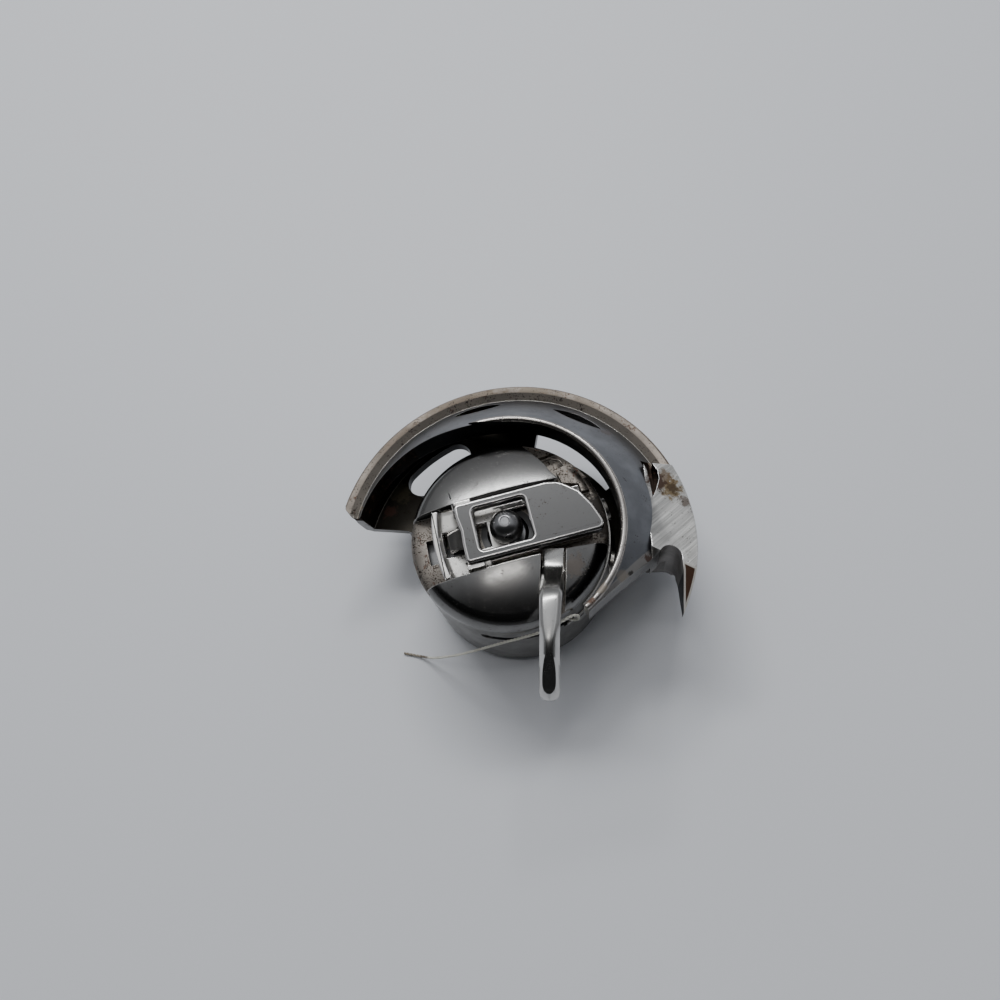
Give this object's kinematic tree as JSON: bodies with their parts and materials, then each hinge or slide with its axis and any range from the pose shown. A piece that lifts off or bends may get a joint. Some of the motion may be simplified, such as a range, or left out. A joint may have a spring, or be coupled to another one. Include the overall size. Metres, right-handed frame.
{
  "type": "sewing machine bobbin case in its shuttle hook",
  "caption": "Metal bobbin case with a hinged latch lever and a bent position finger, seated on the post of a crescent shuttle hook, with its bobbin inside.",
  "frame": {"origin": "on the hook's axis at its back face, on which it rests", "axes": "+Z along the hook's axis from its back to the open face; the crescent's gap faces -Y and the position finger points along -Y"},
  "size_m": [0.0403, 0.0389, 0.0206],
  "materials": {
    "hook_steel": "satin blue-grey steel, worn bright at the rib, with rust specks",
    "dark_steel": "dark polished steel",
    "case_steel": "polished nickel-grey steel with dark stains",
    "finger_steel": "polished steel",
    "bright_steel": "bright ground steel",
    "spring_steel": "spring-tempered bright steel",
    "lever_steel": "satin grey steel with polished edges",
    "bobbin_steel": "plated pressed steel",
    "thread": "off-white twisted sewing thread"
  },
  "bodies": {
    "hook": {"hook_body": "hook_steel", "hook_post": "dark_steel"},
    "case": {"case_shell": "case_steel", "case_tube": "case_steel", "position_finger": "finger_steel", "finger_rivets": "bright_steel", "tension_spring": "spring_steel", "spring_screw": "bright_steel", "latch_spring": "spring_steel", "thread_tail": "thread"},
    "adjusting_screw": {"tension_screw": "bright_steel"},
    "slide": {"latch_slide": "bright_steel", "latch_hinge_pin": "bright_steel"},
    "lever": {"latch_lever": "lever_steel"},
    "bobbin": {"bobbin_front_flange": "bobbin_steel", "bobbin_rear_flange": "bobbin_steel", "bobbin_core": "bobbin_steel", "thread_winding": "thread"}
  },
  "joints": [
    {"name": "case_turn", "type": "hinge", "parent": "hook", "child": "case", "pos_m": [0, 0, 0], "axis": [0, 0, 1], "continuous": true, "deforming": ["thread_tail"]},
    {"name": "bobbin_spin", "type": "hinge", "parent": "case", "child": "bobbin", "pos_m": [0, 0, 0], "axis": [0, 0, 1], "continuous": true},
    {"name": "latch_draw", "type": "slide", "parent": "case", "child": "slide", "axis": [-0.9736, -0.2284, 0], "range_m": [0, 0.0018], "deforming": ["latch_spring"]},
    {"name": "lever_lift", "type": "hinge", "parent": "slide", "child": "lever", "pos_m": [-0.00394, -0.00092, 0.01725], "axis": [0.2284, -0.9736, 0], "range_deg": [0, 85]},
    {"name": "tension_adjust", "type": "hinge", "parent": "case", "child": "adjusting_screw", "pos_m": [0.01076, -0.00229, 0.011], "axis": [0.9781, -0.2079, 0], "range_deg": [-180, 180]}
  ],
  "couplings": [
    {"joint": "latch_draw", "follows": "lever_lift", "m_per_rad": 0.0011459}
  ]
}
